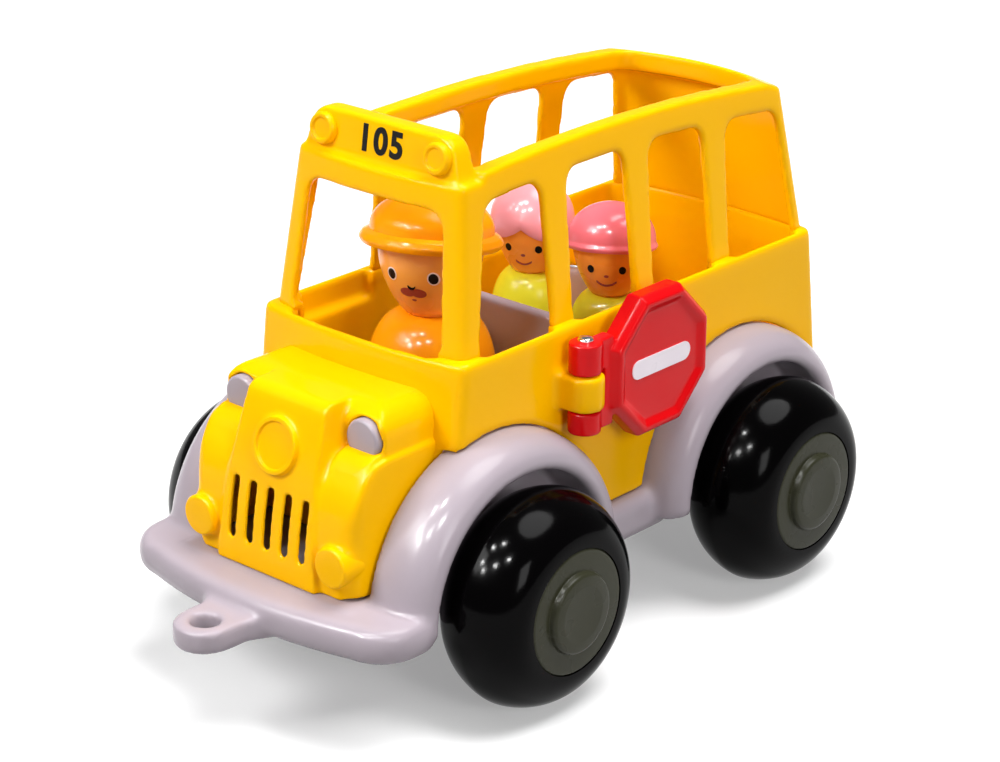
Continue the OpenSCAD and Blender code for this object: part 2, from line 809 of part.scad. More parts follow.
// Round button on a cheek, its edge rounded over
module button(side) {
    tall = hood_wall + button_proud;
    translate([side * boss_x, cheek_y + hood_wall, boss_z]) rotate([90, 0, 0]) rotate_extrude()
        polygon(rounded([[0, 0], [button_r, 0], [button_r, tall], [0, tall]], [0, 0, button_proud / 2, 0]));
}

// Plain disc on the panel's slope, above the grille
module emblem_disc() {
    rise = panel_y(emblem_z + emblem_r, 0) - panel_y(emblem_z - emblem_r, 0);
    slope = atan(rise / (2 * emblem_r));
    translate([0, panel_y(emblem_z, 0), emblem_z]) rotate([90 - slope, 0, 0])
        translate([0, 0, -hood_wall / 2])
        cylinder(h = hood_wall / 2 + emblem_proud, r = emblem_r);
}

module hood()
    color(yellow)
    difference() {
        union() {
            difference() {
                hood_form(0, deck_z, body_y0);
                hood_form(hood_wall, deck_z - overrun, body_y0 + overrun);
            }
            for (side = sides) {
                lamp_place(side, lamp_y + lamp_depth + lamp_cup)
                    cylinder(h = lamp_depth + lamp_cup - hood_wall / 2, r = lamp_r + ease + lamp_cup);
                button(side);
            }
            emblem_disc();
        }
        for (i = [0:slot_count - 1])
            grille_slot((i - (slot_count - 1) / 2) * slot_pitch);
        for (side = sides)
            lamp_place(side, lamp_y + lamp_depth)
                cylinder(h = lamp_depth + lamp_proud + lamp_r, r = lamp_r + ease);
        body_block(-ease);
    }

module headlamp(side)
    color(grey)
    lamp_place(side, lamp_y + lamp_depth)
        rotate_extrude()
            polygon(concat([[0, 0], [lamp_r, 0], [lamp_r, lamp_depth]],
                           [for (i = [1:corner_steps]) let (a = 90 * i / corner_steps)
                               [lamp_r * cos(a), lamp_depth + lamp_proud * sin(a)]]));

module headlamp_left() headlamp(1);
module headlamp_right() headlamp(-1);

// Folding sign

module octagon(r) rotate(octagon_half) circle(r = r, $fn = 8);

module stop_sign()
    color(red)
    difference() {
        union() {
            translate([sign_x0, sign_y, sign_z]) rotate([90, 0, 90])
                difference() {
                    linear_extrude(sign_t) octagon(sign_r);
                    translate([0, 0, sign_t - sign_recess]) linear_extrude(sign_recess + overrun)
                        octagon(sign_r - sign_rim);
                }
            for (span = [[barrel_z0, knuckle_z0 - ease], [knuckle_z1 + ease, barrel_z1]])
                translate([0, 0, span[0]]) linear_extrude(span[1] - span[0]) {
                    translate([hinge_x, hinge_y]) circle(r = barrel_r);
                    translate([sign_x0, hinge_y]) square([barrel_r, neck_y + sign_gap]);
                }
            translate([sign_x0, hinge_y + neck_y, barrel_z0])
                cube([barrel_r, 2 * sign_gap, barrel_z1 - barrel_z0]);
        }
        translate([hinge_x, hinge_y, barrel_z0 - overrun])
            cylinder(h = barrel_z1 - barrel_z0 + 2 * overrun, r = pin_r + fit);
    }

module stop_sign_pin()
    color(steel)
    translate([hinge_x, hinge_y, 0]) rotate_extrude()
        polygon(concat([[0, barrel_z0], [pin_r, barrel_z0], [pin_r, barrel_z1 + fit],
                        [pin_head_r, barrel_z1 + fit]],
                       [for (i = [0:corner_steps]) let (a = 90 * i / corner_steps)
                           [pin_head_r * cos(a), barrel_z1 + pin_head_t * (1 + sin(a)) / 2]]));

// Wheels

// Balloon tyre section: a full round shoulder over a plain bore
module tyre(side, y)
    color(black)
    on_axle(side, y) rotate_extrude()
        polygon([for (i = [0:tyre_steps]) let (a = 180 * i / tyre_steps)
                    [hub_r + fit + (tyre_r - hub_r - fit) * pow(sin(a), 2 / tyre_radial_power),
                     tyre_x - tyre_w / 2 * sign(cos(a)) * pow(abs(cos(a)), 2 / tyre_axial_power)]]);

// Cup-shaped hub with a boss for the axle and a seat for the cap
module hub(side, y) {
    bore = axle_r + fit / 2;
    rim = hub_r - hub_rim_t;
    seat = cap_r + fit;
    back = wheel_out_x - hub_face_t;
    front = wheel_out_x - cap_seat;
    color(olive)
    on_axle(side, y) rotate_extrude()
        polygon([[bore, wheel_in_x], [bearing_r, wheel_in_x], [bearing_r, back], [rim, back],
                 [rim, wheel_in_x + hub_rim_t], [hub_r, wheel_in_x + hub_rim_t], [hub_r, wheel_out_x],
                 [seat, wheel_out_x], [seat, front], [0, front],
                 [0, axle_end + fit], [bore, axle_end + fit]]);
}

module hub_cap(side, y)
    color(olive)
    on_axle(side, y) rotate_extrude()
        polygon(concat([[0, wheel_out_x - cap_seat], [cap_r, wheel_out_x - cap_seat], [cap_r, wheel_out_x]],
                       [for (i = [1:corner_steps]) let (a = 90 * i / corner_steps)
                           [cap_r * (cap_face_share + (1 - cap_face_share) * cos(a)),
                            wheel_out_x + cap_proud * sin(a)]],
                       [[0, wheel_out_x + cap_proud]]));

module axle(y)
    color(steel)
    translate([-axle_end, y, axle_z]) rotate([0, 90, 0]) cylinder(h = 2 * axle_end, r = axle_r);

// Seats

module rider_well(x, y, r) translate([x, y, seat_z]) cylinder(h = well_depth + overrun, r = r + ease);

module seat_tray()
    color(grey)
    difference() {
        union() {
            translate([0, 0, floor_z]) linear_extrude(tray_t)
                polygon(plan(tray_half_w, tray_y0, tray_y1, 0, tray_corner, tray_corner));
            along(seat_back_y, seat_back_y + seat_back_t)
                polygon(rounded([[-tray_half_w, floor_z], [tray_half_w, floor_z],
                                 [tray_half_w, seat_back_z], [-tray_half_w, seat_back_z]],
                                [0, 0, seat_back_round, seat_back_round]));
        }
        rider_well(0, driver_y, driver_size[5]);
        for (side = sides)
            rider_well(side * child_x, child_y, child_size[5]);
    }

// Riders

module rider_place(x, y) translate([x, y, seat_z]) children();

// Bell-shaped body up to the neck
module rider_body(size) {
    neck_h = size[0];
    waist_h = neck_h * waist_share;
    rotate_extrude()
        polygon(concat([[0, 0], [size[5], 0]],
                       [for (i = [0:curve_steps]) let (a = 90 * i / curve_steps)
                           [size[1] + (size[4] - size[1]) * cos(a), waist_h + (neck_h - waist_h) * sin(a)]],
                       [[0, neck_h]]));
}

// Dome over the head from the brow up, grown sideways by gap
function crown(size, gap) =
    let (brow = size[2] * brow_share)
    [for (i = [0:curve_steps]) let (a = crown_angle * i / curve_steps)
        [(size[3] + gap) * cos(a), brow + (size[2] - brow) * sin(a) / sin(crown_angle)]];

// Egg-shaped head, narrow at the chin
module rider_head(size) {
    chin = size[1] * chin_share;
    translate([0, 0, size[0]]) rotate_extrude()
        polygon(concat([[0, 0]],
                       [for (i = [0:curve_steps - 1]) let (s = i / curve_steps)
                           [chin + (size[3] - chin) * pow(sin(90 * s), cheek_power),
                            size[2] * brow_share * s]],
                       crown(size, 0),
                       [[0, size[2]]]));
}

// A dome on a brim, tilted back over the head and hollowed for it
module hat(size, shape, turn, tilt) {
    brim_r = shape[1];
    brim_t = shape[2];
    edge = brim_r - brim_t / 2;
    difference() {
        translate([0, 0, size[0] + shape[0]]) rotate([0, 0, turn]) rotate([-tilt, 0, 0])
            rotate_extrude() polygon(concat(
                           [[0, 0], [edge, 0], [brim_r, brim_t / 2], [edge, brim_t]],
                           [for (i = [0:curve_steps]) let (a = 90 * i / curve_steps)
                               [shape[3] * cos(a), brim_t + (shape[4] - brim_t) * sin(a)]]));
        translate([0, 0, size[0]]) rotate_extrude()
            polygon(concat([[0, 0], [size[3] + ease, 0]], crown(size, ease), [[0, size[2]]]));
    }
}

module driver_body() color(orange) rider_place(0, driver_y) rider_body(driver_size);
module driver_head() color(skin) rider_place(0, driver_y) rider_head(driver_size);
module driver_hat()
    color(orange) rider_place(0, driver_y) hat(driver_size, driver_hat_size, driver_turn, hat_tilt);

module left_child_body() color(lime) rider_place(child_x, child_y) rider_body(child_size);
module left_child_head() color(skin) rider_place(child_x, child_y) rider_head(child_size);
module left_child_helmet()
    color(pink) rider_place(child_x, child_y) hat(child_size, helmet_size, left_child_turn, hat_tilt);

module right_child_body() color(lime) rider_place(-child_x, child_y) rider_body(child_size);
module right_child_head() color(skin) rider_place(-child_x, child_y) rider_head(child_size);
module right_child_hair()
    color(pink) rider_place(-child_x, child_y) hat(child_size, hair_size, right_child_turn, 0);

module front_axle() axle(front_y);
module rear_axle() axle(rear_y);

chassis();
body_tub();
hood();
cabin_frame();
roof_sign();
seat_tray();
headlamp_left();
headlamp_right();
stop_sign();
stop_sign_pin();
chassis_screws();
front_axle();
tyre(1, front_y);  // front_left_tyre
hub(1, front_y);  // front_left_hub
hub_cap(1, front_y);  // front_left_cap
tyre(-1, front_y);  // front_right_tyre
hub(-1, front_y);  // front_right_hub
hub_cap(-1, front_y);  // front_right_cap
rear_axle();
tyre(1, rear_y);  // rear_left_tyre
hub(1, rear_y);  // rear_left_hub
hub_cap(1, rear_y);  // rear_left_cap
tyre(-1, rear_y);  // rear_right_tyre
hub(-1, rear_y);  // rear_right_hub
hub_cap(-1, rear_y);  // rear_right_cap
driver_body();
driver_head();
driver_hat();
left_child_body();
left_child_head();
left_child_helmet();
right_child_body();
right_child_head();
right_child_hair();
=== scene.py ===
# Toy bus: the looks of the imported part, in metres, with millimetres in the sizes below.
import math

import bpy
from mathutils import Matrix, Vector


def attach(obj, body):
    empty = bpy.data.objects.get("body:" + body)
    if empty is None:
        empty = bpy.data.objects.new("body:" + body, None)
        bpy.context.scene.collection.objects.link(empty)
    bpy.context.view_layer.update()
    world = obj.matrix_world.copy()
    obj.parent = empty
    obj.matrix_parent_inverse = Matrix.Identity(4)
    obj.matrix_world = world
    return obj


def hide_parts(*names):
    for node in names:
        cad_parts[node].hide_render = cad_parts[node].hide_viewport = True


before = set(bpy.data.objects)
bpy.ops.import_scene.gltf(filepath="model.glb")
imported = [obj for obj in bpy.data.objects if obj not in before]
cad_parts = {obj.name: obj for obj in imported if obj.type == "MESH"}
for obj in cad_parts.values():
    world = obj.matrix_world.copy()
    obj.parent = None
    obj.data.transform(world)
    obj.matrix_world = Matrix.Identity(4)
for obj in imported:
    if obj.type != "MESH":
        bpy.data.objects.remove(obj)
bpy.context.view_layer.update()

MM = 0.001

# Places repeated from the part's source, in millimetres
BODY_HALF_W = 45.5
BELT_Z = 115.5
BELT_HALF_W = 42.3
ROOF_HALF_W = 36.5
BACK_WALL_Y = 122.3
POST_INNER_X = 39.2
FRONT_Y = -44.0
REAR_Y = 84.0
AXLE_Z = 37.0
TYRE_R = 37.0
TYRE_X = 64.0
TYRE_HALF_W = 17.5
WHEEL_FACE_X = TYRE_X + TYRE_HALF_W
WHEEL_BACK_X = TYRE_X - TYRE_HALF_W
HUB_R = 21.5
CAP_R = 14.0
HINGE = (53.0, -8.0)
PLATE_CENTRE = (50.8, 25.65, 97.0)
PLATE_T = 8.5
LAMP = (27.5, -85.5, 94.5)
LAMP_R = 6.75
ROOF_SIGN_FACE = (0.0, -47.6, 177.0)
ROOF_SIGN_NORMAL = (0.0, -0.99, 0.1414)
SEAT_Z = 73.0
DRIVER_AT = (0.0, -24.5)
CHILD_X = 18.0
CHILD_Y = 47.0


# Materials

# Marks in a moulded surface, in millimetres. The peel is drawn coarser than the real 0.4 mm so that it shows
FLOW_SIZE, HAZE_SIZE, PEEL_SIZE, PEEL_DEPTH = 30, 12, 1.5, 0.2
# The span of the haze's noise that counts, and the shares of the roughness at its ends
HAZE_SPAN, HAZE_SHARES = (0.3, 0.7), (0.8, 1.25)


def linear(code):
    """sRGB hex to linear RGBA."""
    parts = [int(code[i:i + 2], 16) / 255 for i in (1, 3, 5)]
    return tuple(c / 12.92 if c <= 0.04045 else ((c + 0.055) / 1.055) ** 2.4 for c in parts) + (1.0,)


def add_node(tree, kind, inputs=(), **settings):
    """A node with its settings, its input values and its links."""
    node = tree.nodes.new(kind)
    for key, value in settings.items():
        setattr(node, key, value)
    for key, value in dict(inputs).items():
        if isinstance(value, bpy.types.NodeSocket):
            tree.links.new(value, node.inputs[key])
        else:
            node.inputs[key].default_value = value
    return node


def per_mm(size):
    """Noise scale for features of a size in millimetres."""
    return 1 / (size * MM)


def moulded(name, colour, flow, rough, ior=1.53, peel=0.05, specular=0.5, metallic=0.0):
    """A moulded surface: faint flow marks in the colour, uneven gloss and a fine orange peel."""
    material = bpy.data.materials.new(name)
    material.use_nodes = True
    tree = material.node_tree
    tree.nodes.clear()
    place = add_node(tree, "ShaderNodeTexCoord").outputs["Object"]
    marks = add_node(tree, "ShaderNodeTexNoise", {"Vector": place, "Scale": per_mm(FLOW_SIZE), "Detail": 3.0})
    tint = add_node(tree, "ShaderNodeMix", {"Factor": marks.outputs["Fac"], "A": linear(colour),
                                            "B": linear(flow)}, data_type="RGBA")
    haze = add_node(tree, "ShaderNodeTexNoise", {"Vector": place, "Scale": per_mm(HAZE_SIZE), "Detail": 2.0})
    gloss = add_node(tree, "ShaderNodeMapRange",
                     {"Value": haze.outputs["Fac"], "From Min": HAZE_SPAN[0], "From Max": HAZE_SPAN[1],
                      "To Min": rough * HAZE_SHARES[0], "To Max": rough * HAZE_SHARES[1]})
    skin = add_node(tree, "ShaderNodeTexNoise", {"Vector": place, "Scale": per_mm(PEEL_SIZE), "Detail": 1.0})
    bump = add_node(tree, "ShaderNodeBump", {"Height": skin.outputs["Fac"], "Strength": peel,
                                             "Distance": PEEL_DEPTH * MM})
    shader = add_node(tree, "ShaderNodeBsdfPrincipled",
                      {"Base Color": tint.outputs["Result"], "Roughness": gloss.outputs["Result"],
                       "Normal": bump.outputs["Normal"], "IOR": ior, "Specular IOR Level": specular,
                       "Metallic": metallic})
    add_node(tree, "ShaderNodeOutputMaterial", {"Surface": shader.outputs["BSDF"]})
    return material


# Glossy ABS straight from a polished mould: saturated, with small bright highlights
yellow_abs = moulded("yellow_abs", "#FFC000", "#FFBA00", 0.16, specular=0.06)
grey_abs = moulded("mauve_grey_abs", "#A59AA3", "#ABA0A8", 0.2, specular=0.16)
red_abs = moulded("red_abs", "#DE050E", "#D6030C", 0.2, specular=0.14)
orange_abs = moulded("orange_abs", "#FFA80E", "#FBA00A", 0.18, specular=0.1)
face_abs = moulded("tan_face_abs", "#FAAA4A", "#F5A242", 0.26, specular=0.2)
# The children's faces: the same tan face plastic made a deeper orange, a painted reflection of the orange light that
# the yellow walls around them throw back
bounce_tinted_face_abs = moulded("orange_tan_face_abs", "#FFA23C", "#FB9A34", 0.26, specular=0.2)
lime_abs = moulded("lime_abs", "#EFEF38", "#E9EA30", 0.2, specular=0.2)
pink_abs = moulded("pink_abs", "#F27C88", "#EE7280", 0.2, specular=0.3)
pale_pink_abs = moulded("pale_pink_abs", "#FBAAB4", "#F8A0AC", 0.2, specular=0.3)
# Blown soft vinyl, polished and near black: deep, with small sharp highlights
tyre_vinyl = moulded("black_vinyl", "#020202", "#040304", 0.13, ior=1.3, specular=0.1)
# Satin polypropylene: a dull dark olive
hub_satin = moulded("olive_satin_polypropylene", "#2F3022", "#343426", 0.28, ior=1.42, peel=0.08, specular=0.16)
# Plated steel: bright and mirror-like
chrome = moulded("chromed_steel", "#E4E5E8", "#DADBDF", 0.08, ior=1.5, peel=0.02, metallic=1.0)
# Drawn steel rod and screws: grey, less bright
bare_steel = moulded("zinc_plated_steel", "#B4B6BA", "#A6A8AD", 0.3, ior=1.5, peel=0.1, metallic=1.0)
# Printed ink: flat colours with a slight gloss
black_ink = moulded("black_pad_print", "#0A0909", "#0E0C0C", 0.3, specular=0.12)
white_ink = moulded("white_pad_print", "#F4EAF2", "#EEE3EC", 0.3)
rust_ink = moulded("rust_pad_print", "#A04030", "#98392A", 0.35)
rose_ink = moulded("pale_rose_pad_print", "#F6E3DC", "#F0DAD2", 0.35)


# Modelling by hand

# Points closer than this are one point: in a copy of a solid, and at the seam of a turned piece
CAD_MERGE, SEAM_MERGE = 0.005, 0.01
# Edges sharper than this, in degrees, are shaded as creases: on plain pieces, on riders and on softened mouldings
CREASE, RIDER_CREASE, NO_CREASE = 35, 50, 180
# Rounds of smoothing after the second, lighter remesh
LAST_ROUNDS = 3


def deselect():
    if bpy.context.mode != "OBJECT":
        bpy.ops.object.mode_set(mode="OBJECT")
    bpy.ops.object.select_all(action="DESELECT")


def only(piece):
    deselect()
    piece.select_set(True)
    bpy.context.view_layer.objects.active = piece


def edit(piece):
    """Edit mode with everything selected."""
    only(piece)
    bpy.ops.object.mode_set(mode="EDIT")
    bpy.ops.mesh.select_all(action="SELECT")


def finish_mode():
    bpy.ops.object.mode_set(mode="OBJECT")


def settle(piece):
    """The piece's place goes into its mesh."""
    only(piece)
    bpy.ops.object.transform_apply(location=True, rotation=True, scale=True)


def modify(piece, kind, **settings):
    """Adds a modifier and applies it."""
    only(piece)
    modifier = piece.modifiers.new(kind.lower(), kind)
    for key, value in settings.items():
        setattr(modifier, key, value)
    bpy.ops.object.modifier_apply(modifier=modifier.name)


def dress(piece, material, body, slot, *nodes, angle=CREASE):
    """Material, soft shading, and what the piece rides on and stands for."""
    only(piece)
    piece.data.materials.clear()
    piece.data.materials.append(material)
    bpy.ops.object.shade_smooth_by_angle(angle=math.radians(angle))
    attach(piece, body)
    if nodes:
        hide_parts(*nodes)
    return piece


def ease(t):
    """0 to 1 with a soft start and end."""
    t = min(1.0, max(0.0, t))
    return t * t * (3 - 2 * t)


def corner(a, b, c, r, steps):
    """Points that round the corner b of a flat line."""
    a, b, c = Vector(a), Vector(b), Vector(c)
    u, w = (a - b).normalized(), (c - b).normalized()
    half = u.angle(w) / 2
    centre = b + (u + w).normalized() * r / math.sin(half)
    first = b + u * r / math.tan(half) - centre
    last = b + w * r / math.tan(half) - centre
    sweep = math.copysign(first.angle(last), first.x * last.y - first.y * last.x)
    points = []
    for i in range(steps + 1):
        t = sweep * i / steps
        points.append((centre.x + first.x * math.cos(t) - first.y * math.sin(t),
                       centre.y + first.x * math.sin(t) + first.y * math.cos(t)))
    return points


def rounded(points, steps=6):
    """A flat open line of (u, v) or (u, v, radius) points, its corners rounded."""
    line = []
    for i, p in enumerate(points):
        if len(p) == 3:
            line += corner(points[i - 1][:2], p[:2], points[i + 1][:2], p[2], steps)
        else:
            line.append(p)
    return line


def chain(name, points):
    """A line drawn vertex by vertex through points in millimetres."""
    deselect()
    bpy.ops.mesh.primitive_plane_add(size=MM)
    piece = bpy.context.object
    piece.name = name
    bpy.ops.object.mode_set(mode="EDIT")
    bpy.ops.mesh.merge(type="CENTER")
    here = Vector((0, 0, 0))
    for i, p in enumerate(points):
        step = (Vector(p) - here) * MM
        if i == 0:
            bpy.ops.transform.translate(value=step)
        else:
            bpy.ops.mesh.extrude_region_move(TRANSFORM_OT_translate={"value": step})
        here = Vector(p)
    finish_mode()
    return piece


def spun(name, profile, centre, axis="Z", steps=96):
    """A turned shape: the profile of (radius, height) points in millimetres spun round an axis."""
    centre = Vector(centre)
    if axis == "Z":
        line = [centre + Vector((r, 0, h)) for r, h in profile]
        about = Vector((0, 0, 1))
    else:
        line = [centre + Vector((h, 0, r)) for r, h in profile]
        about = Vector((1, 0, 0))
    piece = chain(name, line)
    edit(piece)
    bpy.ops.mesh.spin(steps=steps, angle=2 * math.pi, center=centre * MM, axis=about)
    bpy.ops.mesh.select_all(action="SELECT")
    bpy.ops.mesh.remove_doubles(threshold=SEAM_MERGE * MM)
    bpy.ops.mesh.normals_make_consistent(inside=False)
    finish_mode()
    return piece


def aim(piece, centre, direction):
    """Turns a piece that was spun upright at centre so that its axis points along direction."""
    turn = Vector((0, 0, 1)).rotation_difference(Vector(direction))
    place = Vector(centre) * MM
    piece.matrix_world = Matrix.Translation(place) @ turn.to_matrix().to_4x4() @ Matrix.Translation(-place)
    settle(piece)


def copy_of(piece, name):
    twin = bpy.data.objects.new(name, piece.data.copy())
    bpy.context.scene.collection.objects.link(twin)
    return twin


def mirrored(piece, name):
    twin = copy_of(piece, name)
    twin.scale.x = -1
    settle(twin)
    edit(twin)
    bpy.ops.mesh.normals_make_consistent(inside=False)
    finish_mode()
    return twin


def shifted(piece, name, step):
    twin = copy_of(piece, name)
    twin.location = Vector(step) * MM
    settle(twin)
    return twin


def joined(name, pieces):
    deselect()
    for piece in pieces:
        piece.select_set(True)
    bpy.context.view_layer.objects.active = pieces[0]
    if len(pieces) > 1:
        bpy.ops.object.join()
    whole = bpy.context.view_layer.objects.active
    whole.name = name
    return whole


def merged(piece):
    """Joins the doubled points of a solid's copy."""
    edit(piece)
    bpy.ops.mesh.remove_doubles(threshold=CAD_MERGE * MM)
    finish_mode()


def fused(name, pieces, fine, rounds, voxel):
    """One closed moulding out of overlapping solids: its edges soften on a fine mesh, a lighter one goes over it."""
    whole = joined(name, pieces)
    merged(whole)
    for size, times in ((fine, rounds), (voxel, LAST_ROUNDS)):
        modify(whole, "REMESH", mode="VOXEL", voxel_size=size * MM, use_smooth_shade=True)
        modify(whole, "SMOOTH", factor=0.5, iterations=times)
    return whole


def cad_copies(*names):
    return [copy_of(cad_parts[n], n + "_copy") for n in names]


def prism(name, points, step):
    """A solid drawn as a closed line through points in millimetres and extruded by a step."""
    piece = chain(name, points)
    edit(piece)
    bpy.ops.mesh.edge_face_add()
    bpy.ops.mesh.extrude_region_move(TRANSFORM_OT_translate={"value": Vector(step) * MM})
    bpy.ops.mesh.select_all(action="SELECT")
    bpy.ops.mesh.normals_make_consistent(inside=False)
    finish_mode()
    return piece


def block(name, xs, ys, low, height):
    """An upright block between two x and two y."""
    outline = [(xs[0], ys[0], low), (xs[0], ys[1], low), (xs[1], ys[1], low), (xs[1], ys[0], low)]
    return prism(name, outline, (0, 0, height))


def carved(piece, cutters):
    merged(piece)
    for cutter in cutters:
        modify(piece, "BOOLEAN", object=cutter, operation="DIFFERENCE", solver="EXACT")
        bpy.data.objects.remove(cutter)
    return piece


# Voxel that softens a moulding's edges, rounds of smoothing, voxel of the lighter mesh over it
TUB_SKIN = (0.7, 10, 1.1)
CABIN_SKIN = (0.5, 13, 0.95)
HOOD_SKIN = (0.42, 14, 0.62)
CHASSIS_SKIN = (0.75, 12, 1.2)
SEAT_SKIN = (0.7, 10, 1.0)
SIGN_SKIN = (0.3, 12, 0.42)

# Under each window the wall is open down to the belt's thin rim: the foot and the ledge behind it are cut away there
RIM = 2.5
WINDOW_SPANS = ((-46.4, -11.4), (-0.6, 30.6), (41.4, 72.6), (83.4, 119.8))
SILL_LOW, SILL_H, SILL_INNER_X = BELT_Z - 10, 13.5, 30
# Behind the posts it goes as far as their inner face, with no plane shared with the cuts above
POST_SPAN, POST_LOW, POST_H = (-46.6, 120.1), SILL_LOW + 0.3, 13
# Under the windshield the rim follows the bowed front
FRONT_RIM_Y, FRONT_BOW, FRONT_BOW_HALF_W = -59, 3.5, 41.5
FRONT_HALF_W, FRONT_STEP, FRONT_INNER_Y = 32, 8, -45
# Behind the last row the ledge goes too, flush with the rear wall
LEDGE_HALF_W, LEDGE_Y = 39.3, 95


def sill_cuts(out):
    """Cutters under the windows, from the inside to a distance out of the body's face."""
    cuts = []
    for side in (-1, 1):
        inner_x = side * SILL_INNER_X
        for span in WINDOW_SPANS:
            cuts.append(block("sill_cut", (side * (BODY_HALF_W + out), inner_x), span, SILL_LOW, SILL_H))
        cuts.append(block("post_cut", (side * POST_INNER_X, inner_x), POST_SPAN, POST_LOW, POST_H))
    front = [(x, FRONT_RIM_Y - FRONT_BOW * (1 - (x / FRONT_BOW_HALF_W) ** 2) - out, SILL_LOW)
             for x in range(-FRONT_HALF_W, FRONT_HALF_W + 1, FRONT_STEP)]
    front += [(FRONT_HALF_W, FRONT_INNER_Y, SILL_LOW), (-FRONT_HALF_W, FRONT_INNER_Y, SILL_LOW)]
    cuts.append(prism("sill_cut", front, (0, 0, SILL_H)))
    cuts.append(block("sill_cut", (-LEDGE_HALF_W, LEDGE_HALF_W), (LEDGE_Y, BACK_WALL_Y), SILL_LOW, SILL_H))
    return cuts


# The back is bowed: its middle stands out from the corners, most at the roof, and runs out above the bumper
BELT_BOW, ROOF_BOW, ROOF_Z, BOW_FOOT_Z = 4.5, 8.0, 170.0, 55.0
BOW_START_Y, BOW_FULL_Y = 95.0, 110.0


def bowed(piece):
    """Pulls the middle of the rear wall outwards, with the corners left in place."""
    for v in piece.data.vertices:
        x, y, z = v.co / MM
        if y <= BOW_START_Y:
            continue
        if z >= BELT_Z:
            above = (z - BELT_Z) / (ROOF_Z - BELT_Z)
            half_w = BELT_HALF_W + (ROOF_HALF_W - BELT_HALF_W) * above
            bow = BELT_BOW + (ROOF_BOW - BELT_BOW) * above
        else:
            half_w = BODY_HALF_W
            bow = BELT_BOW * ease((z - BOW_FOOT_Z) / (BELT_Z - BOW_FOOT_Z))
        reach = ease((y - BOW_START_Y) / (BOW_FULL_Y - BOW_START_Y))
        v.co.y += bow * reach * max(0.0, 1 - (x / half_w) ** 2) * MM


# Yellow lower body, and the cabin over it; a second cabin set down a little closes the joint at the belt
CABIN_SET_DOWN = 1.4
tub = fused("lower_body", [carved(cad_copies("body_tub")[0], sill_cuts(-RIM))], *TUB_SKIN)
bowed(tub)
dress(tub, yellow_abs, "bus", "yellow_plastic", "body_tub", angle=NO_CREASE)

cabin_copy, roof_sign_copy = cad_copies("cabin_frame", "roof_sign")
edit(roof_sign_copy)
bpy.ops.mesh.remove_doubles(threshold=CAD_MERGE * MM)
bpy.ops.mesh.bisect(plane_co=Vector(ROOF_SIGN_FACE) * MM, plane_no=ROOF_SIGN_NORMAL, use_fill=True,
                    clear_outer=True)
finish_mode()
carved(cabin_copy, sill_cuts(1))
cabin_foot = shifted(cabin_copy, "cabin_foot", (0, 0, -CABIN_SET_DOWN))
cabin = fused("window_cabin", [cabin_copy, cabin_foot, roof_sign_copy], *CABIN_SKIN)
bowed(cabin)
dress(cabin, yellow_abs, "bus", "yellow_plastic", "cabin_frame", "roof_sign", angle=NO_CREASE)

# Hood: the back of a second one closes the joint to the body, and a shelf under each lamp covers its foot
HOOD_SET_BACK = 1.8
# The block that takes the front off the second hood
FRONT_CUT_XS, FRONT_CUT_YS, FRONT_CUT_LOW, FRONT_CUT_H = (-50, 50), (-110, -88), 40, 70
LAMP_SHELF = ((0.8, 78), (0.8, 91.2), (-2, 91), (-4, 89.9), (-6, 88.2), (-8, 85.7), (-10, 82), (-10, 78))
SHELF_X, SHELF_W = 20.5, 14.5
# Behind its slots the grille is thin, so that the dark inside shows through them
GRILLE_BACK = ((-101.7, 52), (-100.3, 64), (-98.0, 76), (-92, 76), (-92, 52))
GRILLE_HALF_W = 18
# The outer edges of the cheeks are fuller rounds than the rest: where that starts, its top, how it fades in, rounds
CHEEK_X, CHEEK_TOP, CHEEK_FADE_X, CHEEK_FADE_Z, CHEEK_ROUNDS = 30.5, 90, 3.5, 8, 90


def lamp_shelf(side):
    return prism("shelf", [(side * SHELF_X, LAMP[1] + y, z) for y, z in LAMP_SHELF], (side * SHELF_W, 0, 0))


hood_copy = cad_copies("hood")[0]
hood_back = shifted(hood_copy, "hood_back", (0, HOOD_SET_BACK, 0))
carved(hood_back, [block("front_cut", FRONT_CUT_XS, FRONT_CUT_YS, FRONT_CUT_LOW, FRONT_CUT_H)])
carved(hood_copy, [prism("grille_cut", [(-GRILLE_HALF_W, y, z) for y, z in GRILLE_BACK],
                         (2 * GRILLE_HALF_W, 0, 0))])
hood = fused("hood_moulding", [hood_copy, hood_back, lamp_shelf(-1), lamp_shelf(1)], *HOOD_SKIN)
cheeks = hood.vertex_groups.new(name="cheeks")
for v in hood.data.vertices:
    x, _, z = v.co / MM
    share = ease((abs(x) - CHEEK_X) / CHEEK_FADE_X) * ease((CHEEK_TOP - z) / CHEEK_FADE_Z)
    if share > 0:
        cheeks.add([v.index], share, "REPLACE")
modify(hood, "SMOOTH", factor=0.5, iterations=CHEEK_ROUNDS, vertex_group="cheeks")
dress(hood, yellow_abs, "bus", "yellow_plastic", "hood", angle=NO_CREASE)

chassis = fused("grey_chassis", cad_copies("chassis"), *CHASSIS_SKIN)
dress(chassis, grey_abs, "bus", "grey_plastic", "chassis", angle=NO_CREASE)

seat = fused("seat_moulding", cad_copies("seat_tray"), *SEAT_SKIN)
dress(seat, grey_abs, "bus", "grey_plastic", "seat_tray", angle=NO_CREASE)


# Wheels: tyre, hub and cap turned once, then copied to the four places

# Powers of the tyre's section: a full tread, lean sidewalls
TREAD_POWER, SIDE_POWER = 2.3, 1.6
BORE_R, BOSS_R, HUB_WALL, HUB_PLATE, HUB_DEPTH = 2.6, 7, 3, 5, 32
CAP_LAP, CAP_SEAT = 1, 1.5


